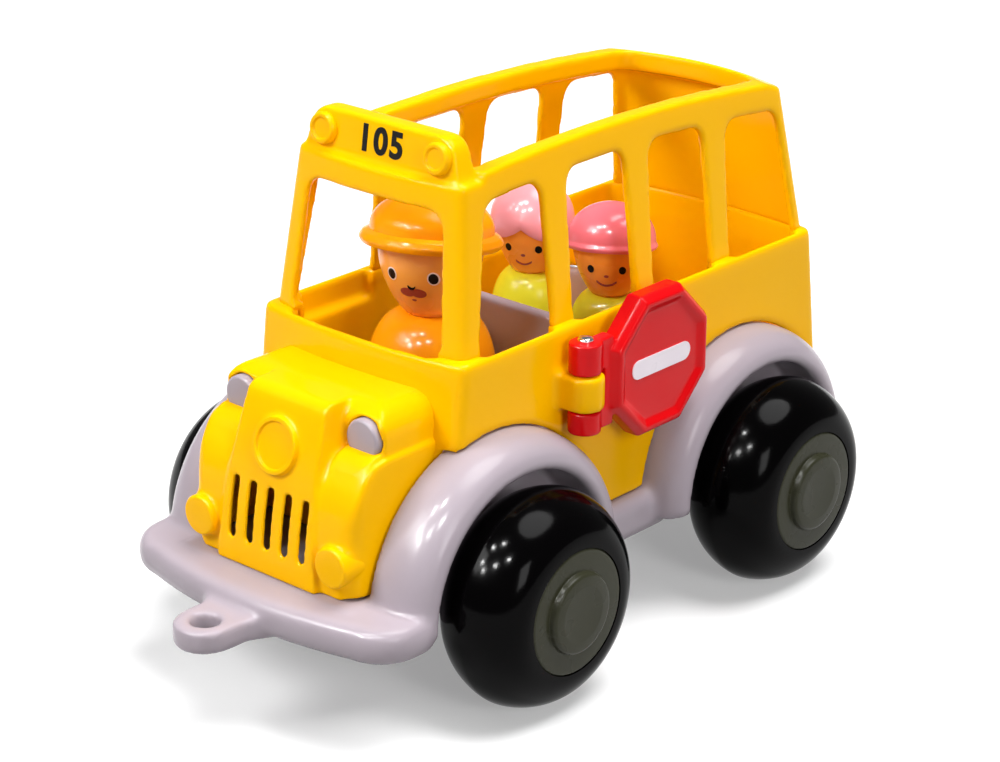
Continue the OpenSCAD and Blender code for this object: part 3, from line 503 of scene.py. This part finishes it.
def tyre_profile(steps=56):
    line = []
    for i in range(steps + 1):
        a = math.pi * i / steps
        c = math.cos(a)
        line.append((HUB_R + (TYRE_R - HUB_R) * math.sin(a) ** (2 / TREAD_POWER),
                     TYRE_X - TYRE_HALF_W * math.copysign(abs(c) ** (2 / SIDE_POWER), c)))
    return line + [line[0]]


hub_profile = rounded([(BORE_R, WHEEL_BACK_X), (BOSS_R, WHEEL_BACK_X, 0.6), (BOSS_R, WHEEL_FACE_X - HUB_PLATE),
                       (HUB_R - HUB_WALL, WHEEL_FACE_X - HUB_PLATE),
                       (HUB_R - HUB_WALL, WHEEL_FACE_X - HUB_DEPTH, 0.8),
                       (HUB_R, WHEEL_FACE_X - HUB_DEPTH, 0.8), (HUB_R, WHEEL_FACE_X, 1.1),
                       (CAP_R - CAP_LAP, WHEEL_FACE_X), (CAP_R - CAP_LAP, WHEEL_FACE_X - CAP_SEAT),
                       (0, WHEEL_FACE_X - CAP_SEAT)])
cap_profile = rounded([(CAP_R + 0.6, WHEEL_FACE_X - 0.6), (CAP_R, WHEEL_FACE_X + 0.2, 0.5),
                       (CAP_R - 0.5, WHEEL_FACE_X + 2.3, 1.4), (CAP_R - 4.5, WHEEL_FACE_X + 2.55, 3),
                       (0, WHEEL_FACE_X + 2.1)])
hub_at = (0, FRONT_Y, AXLE_Z)
tyre = spun("front_left_tyre_skin", tyre_profile(), hub_at, "X", steps=128)
hub = spun("front_left_hub_skin", hub_profile, hub_at, "X")
cap = spun("front_left_cap_skin", cap_profile, hub_at, "X")
for part, material, slot in ((tyre, tyre_vinyl, "tyre_black"), (hub, hub_satin, "hub_olive"),
                             (cap, hub_satin, "hub_olive")):
    kind = part.name.split("_")[2]
    left_rear = shifted(part, f"rear_left_{kind}_skin", (0, REAR_Y - FRONT_Y, 0))
    dress(mirrored(part, f"front_right_{kind}_skin"), material, "front_wheels", slot, f"front_right_{kind}")
    dress(mirrored(left_rear, f"rear_right_{kind}_skin"), material, "rear_wheels", slot, f"rear_right_{kind}")
    dress(left_rear, material, "rear_wheels", slot, f"rear_left_{kind}")
    dress(part, material, "front_wheels", slot, f"front_left_{kind}")
for name in ("front_axle", "rear_axle", "chassis_screws"):
    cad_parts[name].data.materials.clear()
    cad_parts[name].data.materials.append(bare_steel)


# Turned details: head lamps, hood buttons, the hood's bare disc and the roof sign's lamps

LAMP_PROFILE = [(0, 0), (LAMP_R, 0), (LAMP_R, 6.9, 1.2), (0, 7.1)]
BUTTON_PROFILE = [(0, -6), (6.85, -6), (6.85, 3.05, 1.1), (0, 3.15)]
DISC_PROFILE = [(0, 0.9), (7.5, 0.9, 0.3), (7.9, 1.8, 0.3), (9.3, 1.8, 0.4), (9.8, 0.2, 0.2), (9.8, -0.8)]
RING_PROFILE = [(0, 1.5), (3.2, 1.5, 0.3), (3.7, 2.3, 0.4), (4.8, 2.3, 0.7), (5.4, 1.2, 0.4), (5.4, -1.5)]
LAMP_DEPTH, RING_X = 6, 25
BUTTON_X, BUTTON_Y, BUTTON_Z = 30, -101, 57
DISC_AT, DISC_NORMAL = (0, -96.4, 88), (0, -0.963, 0.2696)
AHEAD = (0, -1, 0)


def turned(name, profile, centre, direction, material, slot, *nodes):
    piece = spun(name, rounded(profile), centre, steps=72)
    aim(piece, centre, direction)
    return dress(piece, material, "bus", slot, *nodes)


for side, word in ((1, "left"), (-1, "right")):
    turned(word + "_lamp_disc", LAMP_PROFILE, (side * LAMP[0], LAMP[1] + LAMP_DEPTH, LAMP[2]), AHEAD, grey_abs,
           "grey_plastic", "headlamp_" + word)
    turned(word + "_hood_button", BUTTON_PROFILE, (side * BUTTON_X, BUTTON_Y, BUTTON_Z), AHEAD, yellow_abs,
           "yellow_plastic")
    turned(word + "_sign_ring", RING_PROFILE, (side * RING_X, *ROOF_SIGN_FACE[1:]), ROOF_SIGN_NORMAL, yellow_abs,
           "yellow_plastic")
turned("hood_disc", DISC_PROFILE, DISC_AT, DISC_NORMAL, yellow_abs, "yellow_plastic")

# A plain route number printed on the roof sign
NUMBER_H, NUMBER_BOLD, NUMBER_T, NUMBER_SPACING = 12, 0.4, 0.2, 1.15
deselect()
bpy.ops.object.text_add()
number = bpy.context.object
number.data.body = "105"
number.data.align_x = number.data.align_y = "CENTER"
number.data.size = NUMBER_H * MM
number.data.offset = NUMBER_BOLD * MM
number.data.extrude = NUMBER_T * MM
number.data.space_character = NUMBER_SPACING
bpy.ops.object.convert(target="MESH")
number = bpy.context.object
number.name = "route_number"
number.matrix_world = (Matrix.Translation(Vector(ROOF_SIGN_FACE) * MM)
                       @ Matrix.Rotation(math.acos(ROOF_SIGN_NORMAL[2]), 4, "X"))
settle(number)
dress(number, black_ink, "bus", "tyre_black")


# Folding sign: an octagon plate with a soft raised rim, two barrels and their necks

PLATE_R, CHAMFER, CHAMFER_SHARE = 26.79, 2.5, 0.92
PLATE_RIM, RECESS_SLOPE, RECESS_DEPTH = 1.6, 2.2, 1.5
BARREL_SPANS, BARREL_R = ((80.5, 88.2), (101.3, 112.0)), 5.6
NECK_AT, NECK_SIZE = (53.4, -3.1), (5.2, 9.8)
WEB_AT, WEB_SIZE = (53.4, 1.2, 96.25), (5.2, 4.2, 31.5)


def facing(piece, normal, least=0.9):
    """Selects the faces that look along normal, in edit mode of one piece."""
    bpy.ops.mesh.select_all(action="DESELECT")
    finish_mode()
    for polygon in piece.data.polygons:
        if polygon.normal.dot(Vector(normal)) > least:
            for i in polygon.vertices:
                piece.data.vertices[i].select = True
    bpy.ops.object.mode_set(mode="EDIT")


def brick(centre, size):
    """A plain block for a fused moulding."""
    deselect()
    bpy.ops.mesh.primitive_cube_add(size=1, location=Vector(centre) * MM)
    piece = bpy.context.object
    piece.scale = Vector(size) * MM
    settle(piece)
    return piece


deselect()
bpy.ops.mesh.primitive_circle_add(vertices=8, radius=PLATE_R * MM, fill_type="NGON")
plate = bpy.context.object
plate.matrix_world = (Matrix.Translation(Vector(PLATE_CENTRE) * MM) @ Matrix.Rotation(math.pi / 2, 4, "Y")
                      @ Matrix.Rotation(math.pi / 8, 4, "Z"))
settle(plate)
edit(plate)
bpy.ops.mesh.extrude_region_move(TRANSFORM_OT_translate={"value": ((PLATE_T - CHAMFER) * MM, 0, 0)})
bpy.ops.mesh.extrude_region_move(TRANSFORM_OT_translate={"value": (CHAMFER * MM, 0, 0)})
bpy.ops.transform.resize(value=(1, CHAMFER_SHARE, CHAMFER_SHARE))
bpy.ops.mesh.select_all(action="SELECT")
bpy.ops.mesh.normals_make_consistent(inside=False)
facing(plate, (1, 0, 0))
bpy.ops.mesh.inset(thickness=PLATE_RIM * MM)
bpy.ops.mesh.inset(thickness=RECESS_SLOPE * MM, depth=-RECESS_DEPTH * MM)
finish_mode()

barrels = []
for low, high in BARREL_SPANS:
    middle = (low + high) / 2
    deselect()
    bpy.ops.mesh.primitive_cylinder_add(vertices=48, radius=BARREL_R * MM, depth=(high - low) * MM,
                                        location=Vector((*HINGE, middle)) * MM)
    barrel = bpy.context.object
    settle(barrel)
    barrels += [barrel, brick((*NECK_AT, middle), (*NECK_SIZE, high - low))]
sign = fused("red_folding_sign", [plate, *barrels, brick(WEB_AT, WEB_SIZE)], *SIGN_SKIN)
dress(sign, red_abs, "folding_sign", "red_plastic", "stop_sign", angle=NO_CREASE)

# A plain white bar with round ends printed across the sign
BAR_HALF_W, BAR_R, BAR_X, BAR_T = 12, 3.3, 57.2, 0.95
bar_line = [(side * (BAR_HALF_W + BAR_R * math.cos(a)), side * BAR_R * math.sin(a)) for side in (1, -1)
            for a in (math.radians(15 * i - 90) for i in range(13))]
bar = prism("sign_bar", [(BAR_X, PLATE_CENTRE[1] + u, PLATE_CENTRE[2] + v) for u, v in bar_line], (BAR_T, 0, 0))
dress(bar, white_ink, "folding_sign", "face_plastic")

PIN_PROFILE = [(0, 80.5), (1.75, 80.5), (1.75, 112.1), (2.7, 112.1), (2.7, 112.9, 0.4), (2.2, 113.5, 0.8),
               (0, 113.8)]
pin = spun("hinge_pin", rounded(PIN_PROFILE), (*HINGE, 0), steps=48)
dress(pin, chrome, "bus", "chrome_pin", "stop_sign_pin")


# Riders: turned bodies and heads, hats and hair over them

LEFT_AT, RIGHT_AT = (CHILD_X, CHILD_Y), (-CHILD_X, CHILD_Y)
# How far each face looks to the left and how far the hats tip back, in degrees
DRIVER_TURN, LEFT_TURN, RIGHT_TURN, HAT_TILT = 20, 32, 25, 10
# Bodies: height and radius of the neck, radius of the middle and of the foot
DRIVER_BODY, CHILD_BODY = (41.5, 9, 21.5, 20), (33, 7, 14.5, 13)
# Heads above the neck: radius of the chin, height of the brow and of the crown, largest radius
DRIVER_HEAD, CHILD_HEAD = (8.6, 22.4, 35, 17.5), (6.65, 18.6, 29, 13.3)
# Lower edges of what the heads wear
HAT_Z, HELMET_Z, HAIR_Z = SEAT_Z + 64, SEAT_Z + 49, SEAT_Z + 47
# The body is straight up to this share of its height; the jaw's curve; where the crown's curve stops, in degrees
WAIST_SHARE, JAW_POWER, CROWN_END = 0.5, 0.8, 88


def body_profile(neck, neck_r, body_r, foot_r, steps=16):
    waist = neck * WAIST_SHARE
    curve = [(neck_r + (body_r - neck_r) * math.cos(math.pi / 2 * i / steps),
              waist + (neck - waist) * math.sin(math.pi / 2 * i / steps)) for i in range(steps + 1)]
    return [(0, 0), (foot_r, 0)] + curve + [(0, neck)]


def head_profile(chin, brow, top, r, steps=14):
    low = [(chin + (r - chin) * math.sin(math.pi / 2 * i / steps) ** JAW_POWER, brow * i / steps)
           for i in range(steps)]
    high = [(r * math.cos(math.radians(CROWN_END * i / steps)),
             brow + (top - brow) * math.sin(math.radians(CROWN_END * i / steps))) for i in range(steps + 1)]
    return [(0, 0)] + low + high + [(0, top)]


def dome(r, low, high, steps=16):
    return [(r * math.cos(math.pi / 2 * i / steps), low + (high - low) * math.sin(math.pi / 2 * i / steps))
            for i in range(steps + 1)]


def rider(name, at, body_size, head_size, clothes, clothes_slot, skin):
    """Body and head of a rider, who is a body of the part by that name."""
    torso = spun(name + "_torso", body_profile(*body_size), (*at, SEAT_Z))
    dress(torso, clothes, name, clothes_slot, name + "_body", angle=RIDER_CREASE)
    head = spun(name + "_face", head_profile(*head_size), (*at, SEAT_Z + body_size[0]))
    return dress(head, skin, name, "face_plastic", name + "_head", angle=RIDER_CREASE)


def hat(name, at, edge_z, turn, tilt, profile, material, body, slot, node):
    """A turned hat, tipped back and turned with the face."""
    piece = spun(name, profile, (0, 0, 0))
    piece.matrix_world = (Matrix.Translation(Vector((*at, edge_z)) * MM)
                          @ Matrix.Rotation(math.radians(turn), 4, "Z")
                          @ Matrix.Rotation(math.radians(-tilt), 4, "X"))
    settle(piece)
    return dress(piece, material, body, slot, node, angle=RIDER_CREASE)


driver_head = rider("driver", DRIVER_AT, DRIVER_BODY, DRIVER_HEAD, orange_abs, "orange_plastic", face_abs)
HAT_BRIM = [(18.2, 0), (22.9, 0, 1.4), (24.1, 2, 1), (22.9, 4, 1.4), (20.7, 5)]
hat_profile = [(0, 5), (18.2, 5), (18.2, 0.6)] + rounded(HAT_BRIM) + dome(20.7, 6, 18)
hat("driver_hard_hat", DRIVER_AT, HAT_Z, DRIVER_TURN, HAT_TILT, hat_profile, orange_abs, "driver",
    "orange_plastic", "driver_hat")

left_head = rider("left_child", LEFT_AT, CHILD_BODY, CHILD_HEAD, lime_abs, "lime_plastic", bounce_tinted_face_abs)
HELMET_BRIM = [(13.8, 0), (15.4, 0, 0.8), (16.2, 1.3, 0.7), (15.4, 2.6, 0.8), (15.3, 3)]
helmet_profile = [(0, 3), (13.8, 3), (13.8, 0.5)] + rounded(HELMET_BRIM) + dome(15.3, 3.4, 16)
hat("left_child_hard_hat", LEFT_AT, HELMET_Z, LEFT_TURN, HAT_TILT, helmet_profile, pink_abs, "left_child",
    "pink_plastic", "left_child_helmet")

right_head = rider("right_child", RIGHT_AT, CHILD_BODY, CHILD_HEAD, lime_abs, "lime_plastic", bounce_tinted_face_abs)
HAIR_EDGE = [(0, 3), (13.6, 3), (13.6, 1.5), (13.6, 0.4), (14.4, 0), (14.9, 1), (15.05, 2), (15.15, 2.8)]
hair_profile = HAIR_EDGE + dome(15.2, 3.5, 19)
hair = hat("right_child_locks", RIGHT_AT, HAIR_Z, RIGHT_TURN, 0, hair_profile, pale_pink_abs, "right_child",
           "pink_plastic", "right_child_hair")
# The fringe parts in the middle: it rises to a point there, falls in a lobe on each side and hangs lower behind.
# Degrees from the middle of the face, and the rise there, which runs out at a height above the edge
FRINGE = ((0, 4.6), (10, 2.8), (24, 1.0), (38, 0.2), (60, -2.0), (80, -4.0), (180, -5.0))
FRINGE_H = 9
for v in hair.data.vertices:
    angle = abs(math.degrees(math.atan2(v.co.x + CHILD_X * MM, CHILD_Y * MM - v.co.y)) - RIGHT_TURN)
    angle = min(angle, 360 - angle)
    for (a0, rise0), (a1, rise1) in zip(FRINGE, FRINGE[1:]):
        if a0 <= angle <= a1:
            fringe_rise = rise0 + (rise1 - rise0) * (angle - a0) / (a1 - a0)
    share = max(0.0, 1 - (v.co.z / MM - HAIR_Z) / FRINGE_H)
    v.co.z += fringe_rise * share * MM


# Printed faces: thin ink laid on the heads

# How far a drawing stands in front of a head's middle before it is laid on, and how far the ink reaches into it
DRAWING_OUT, INK_ROOT = 22, 0.15
# An eye's height over its width, and how far its ink stands out
EYE_TALL, EYE_LIFT = 1.28, 0.22
DRIVER_EYE_Z, DRIVER_EYE_GAP = 131, 14.7


def ink(piece, head, name, material, body, slot, lift):
    """Lays a flat drawn shape on the head, a printed layer that stands out by lift."""
    modify(piece, "SHRINKWRAP", target=head, wrap_method="PROJECT", use_project_z=True,
           use_negative_direction=True, use_positive_direction=False, offset=lift * MM)
    settle(piece)
    modify(piece, "SOLIDIFY", thickness=(lift + INK_ROOT) * MM, offset=-1)
    piece.name = name
    return dress(piece, material, body, slot)


def stand(piece, at, turn, side, height):
    """Stands a drawing made in the XY plane in front of a face: side and height are on the face."""
    look = Matrix.Rotation(math.radians(turn), 4, "Z")
    upright = Matrix.Rotation(math.radians(90), 4, "X")
    piece.matrix_world = (Matrix.Translation(Vector((*at, 0)) * MM) @ look
                          @ Matrix.Translation(Vector((side, -DRAWING_OUT, height)) * MM) @ upright
                          @ piece.matrix_world)


def spot(width, height, steps=28, rings=3, ring_share=0.12):
    """An oval with rings inside it, so that it bends with the head."""
    deselect()
    bpy.ops.mesh.primitive_circle_add(vertices=steps, radius=0.5, fill_type="NGON")
    piece = bpy.context.object
    piece.scale = (width * MM, height * MM, 1)
    settle(piece)
    edit(piece)
    for _ in range(rings):
        bpy.ops.mesh.inset(thickness=ring_share * min(width, height) * MM)
    finish_mode()
    return piece


def stroke(points, width):
    """A drawn line of a width, from a chain of points pulled out to a ribbon."""
    piece = chain("stroke", [(p[0], p[1] + width / 2, 0) for p in points])
    edit(piece)
    bpy.ops.mesh.extrude_region_move(TRANSFORM_OT_translate={"value": (0, -width * MM, 0)})
    bpy.ops.mesh.select_all(action="SELECT")
    bpy.ops.mesh.normals_make_consistent(inside=False)
    finish_mode()
    return piece


def smile(half_w, drop, steps=14):
    return [(half_w * (2 * i / steps - 1), drop * ((2 * i / steps - 1) ** 2 - 1)) for i in range(steps + 1)]


def face(name, head, at, turn, eye_z, eye_gap, eye_w, marks):
    """Black eyes and the other marks: (word, drawing, side, height, ink, lift)."""
    for side, word in ((-1, "right"), (1, "left")):
        eye = spot(eye_w, eye_w * EYE_TALL)
        marks = marks + [(word + "_eye", eye, side * eye_gap / 2, eye_z, black_ink, EYE_LIFT)]
    for word, drawing, side, height, material, lift in marks:
        stand(drawing, at, turn, side, height)
        slot = "tyre_black" if material == black_ink else "face_plastic"
        ink(drawing, head, f"{name}_{word}", material, name, slot, lift)


face("driver", driver_head, DRIVER_AT, DRIVER_TURN, DRIVER_EYE_Z, DRIVER_EYE_GAP, 3.0,
     [("right_rim", spot(3.9, 4.8), -DRIVER_EYE_GAP / 2, DRIVER_EYE_Z, rose_ink, 0.1),
      ("left_rim", spot(3.9, 4.8), DRIVER_EYE_GAP / 2, DRIVER_EYE_Z, rose_ink, 0.1),
      ("right_moustache", spot(5.2, 3.4), -2.0, 125.2, rust_ink, 0.12),
      ("left_moustache", spot(5.2, 3.4), 2.0, 125.2, rust_ink, 0.14),
      ("nose", stroke(smile(1.3, 0.8), 0.7), 0, 127.8, black_ink, 0.2),
      ("chin_mark", spot(1.6, 0.9), 0, 122.3, rust_ink, 0.12)])
face("left_child", left_head, LEFT_AT, LEFT_TURN, 117.7, 11, 2.3,
     [("nose", spot(1.6, 1.1), 0, 115.4, rust_ink, 0.12),
      ("mouth", stroke(smile(3.4, 1.5), 0.7), 0, 113.2, rust_ink, 0.12)])
face("right_child", right_head, RIGHT_AT, RIGHT_TURN, 116.8, 11, 2.3,
     [("nose", spot(1.6, 1.1), 0, 114.3, rust_ink, 0.12),
      ("mouth", stroke(smile(2.8, 1.2), 0.6), 0, 111.8, rust_ink, 0.12)])


# Floor, light and camera, with places and sizes in metres

# The floor is white where it is looked at, direct or mirrored, and lifted a little there. The light that it throws
# back is that of a grey
FLOOR_SIZE, FLOOR_SEEN, FLOOR_BOUNCE, FLOOR_LIFT = 8, "#FAFAFA", "#808080", 0.3
WHITE = (1, 1, 1, 1)
SKY_STRENGTH = 0.2
# A wide overhead light, a little behind and to the bus's left: strength, spread in degrees, where it looks
SUN_STRENGTH, SUN_SPREAD, SUN_LOOK = 3.5, 36, (-0.2, -0.22, -1)
# Softboxes: place, what they look at, width, height, watts
KEY_LIGHT = ((-0.6, -1.1, 1.1), (0, 0, 0.08), 0.6, 0.6, 20)
SIDE_LIGHT = ((1.4, -0.5, 0.7), (0, 0, 0.08), 0.4, 0.6, 9)
# Small lamps draw the sharp highlights of polished plastic, and light nothing else
SPARKS = ((-0.3, -1.0, 0.95), (-0.12, -1.05, 0.8), (0.2, -1.0, 1.0), (0.5, -0.75, 1.1), (0.05, -0.6, 1.35),
          (-0.2, -0.75, 1.25))
SPARK = ((0, 0, 0.05), 0.11, 0.045, 9)

floor_paint = bpy.data.materials.new("matt_white_floor")
floor_paint.use_nodes = True
paint_tree = floor_paint.node_tree
paint_tree.nodes.clear()
sight = add_node(paint_tree, "ShaderNodeLightPath").outputs
seen = add_node(paint_tree, "ShaderNodeMath", {0: sight["Is Camera Ray"], 1: sight["Is Glossy Ray"]},
                operation="MAXIMUM").outputs["Value"]
tone = add_node(paint_tree, "ShaderNodeMix", {"Factor": seen, "A": linear(FLOOR_BOUNCE), "B": linear(FLOOR_SEEN)},
                data_type="RGBA")
paint = add_node(paint_tree, "ShaderNodeBsdfDiffuse", {"Color": tone.outputs["Result"]})
glow = add_node(paint_tree, "ShaderNodeEmission", {"Color": WHITE, "Strength": 1.0})
lift = add_node(paint_tree, "ShaderNodeMath", {0: seen, 1: FLOOR_LIFT}, operation="MULTIPLY")
lifted = add_node(paint_tree, "ShaderNodeMixShader",
                  {0: lift.outputs["Value"], 1: paint.outputs["BSDF"], 2: glow.outputs["Emission"]})
add_node(paint_tree, "ShaderNodeOutputMaterial", {"Surface": lifted.outputs["Shader"]})
deselect()
bpy.ops.mesh.primitive_plane_add(size=FLOOR_SIZE)
floor = bpy.context.object
floor.name = "floor"
floor.data.materials.append(floor_paint)

world = bpy.data.worlds.new("studio")
bpy.context.scene.world = world
world.use_nodes = True
world.node_tree.nodes.clear()
sky = add_node(world.node_tree, "ShaderNodeBackground", {"Color": WHITE, "Strength": SKY_STRENGTH})
add_node(world.node_tree, "ShaderNodeOutputWorld", {"Surface": sky.outputs["Background"]})


def hung(lamp_data, place, look):
    """A lamp at a place, looking along a direction."""
    holder = bpy.data.objects.new(lamp_data.name, lamp_data)
    bpy.context.scene.collection.objects.link(holder)
    holder.location = place
    holder.rotation_euler = Vector(look).to_track_quat("-Z", "Y").to_euler()
    return holder


def softbox(name, place, aim_at, width, height, power):
    lamp_data = bpy.data.lights.new(name, "AREA")
    lamp_data.shape = "RECTANGLE"
    lamp_data.size, lamp_data.size_y, lamp_data.energy = width, height, power
    return hung(lamp_data, place, Vector(aim_at) - Vector(place))


sun_data = bpy.data.lights.new("overhead", "SUN")
sun_data.energy, sun_data.angle = SUN_STRENGTH, math.radians(SUN_SPREAD)
hung(sun_data, (0, 0, 0), SUN_LOOK)
softbox("key_softbox", *KEY_LIGHT)
softbox("side_softbox", *SIDE_LIGHT)
for i, place in enumerate(SPARKS):
    softbox(f"spark_{i}", place, *SPARK).visible_diffuse = False

# The photograph's camera, solved from its perspective, in millimetres and pixels
AZIMUTH, ELEVATION, ROLL = math.radians(41.560), math.radians(21.829), math.radians(0.286)
DISTANCE, FOCAL_PX, IMAGE_W = 988.043, 2819.487, 1000
LOOK_AT = Vector((-10.316, 21.639, 72.320))
back = Vector((math.sin(AZIMUTH) * math.cos(ELEVATION), -math.cos(AZIMUTH) * math.cos(ELEVATION),
               math.sin(ELEVATION)))
level = Vector((math.cos(AZIMUTH), math.sin(AZIMUTH), 0))
rise = back.cross(level)
right = math.cos(ROLL) * level + math.sin(ROLL) * rise
up = -math.sin(ROLL) * level + math.cos(ROLL) * rise
eye_at = (LOOK_AT + back * DISTANCE) * MM
camera_data = bpy.data.cameras.new("photo_camera")
camera_data.sensor_width = 36
camera_data.lens = camera_data.sensor_width * FOCAL_PX / IMAGE_W
camera = bpy.data.objects.new("photo_camera", camera_data)
bpy.context.scene.collection.objects.link(camera)
camera.matrix_world = Matrix(((right.x, up.x, back.x, eye_at.x), (right.y, up.y, back.y, eye_at.y),
                              (right.z, up.z, back.z, eye_at.z), (0, 0, 0, 1)))
bpy.context.scene.camera = camera
bpy.context.scene.view_settings.view_transform = "Standard"

deselect()
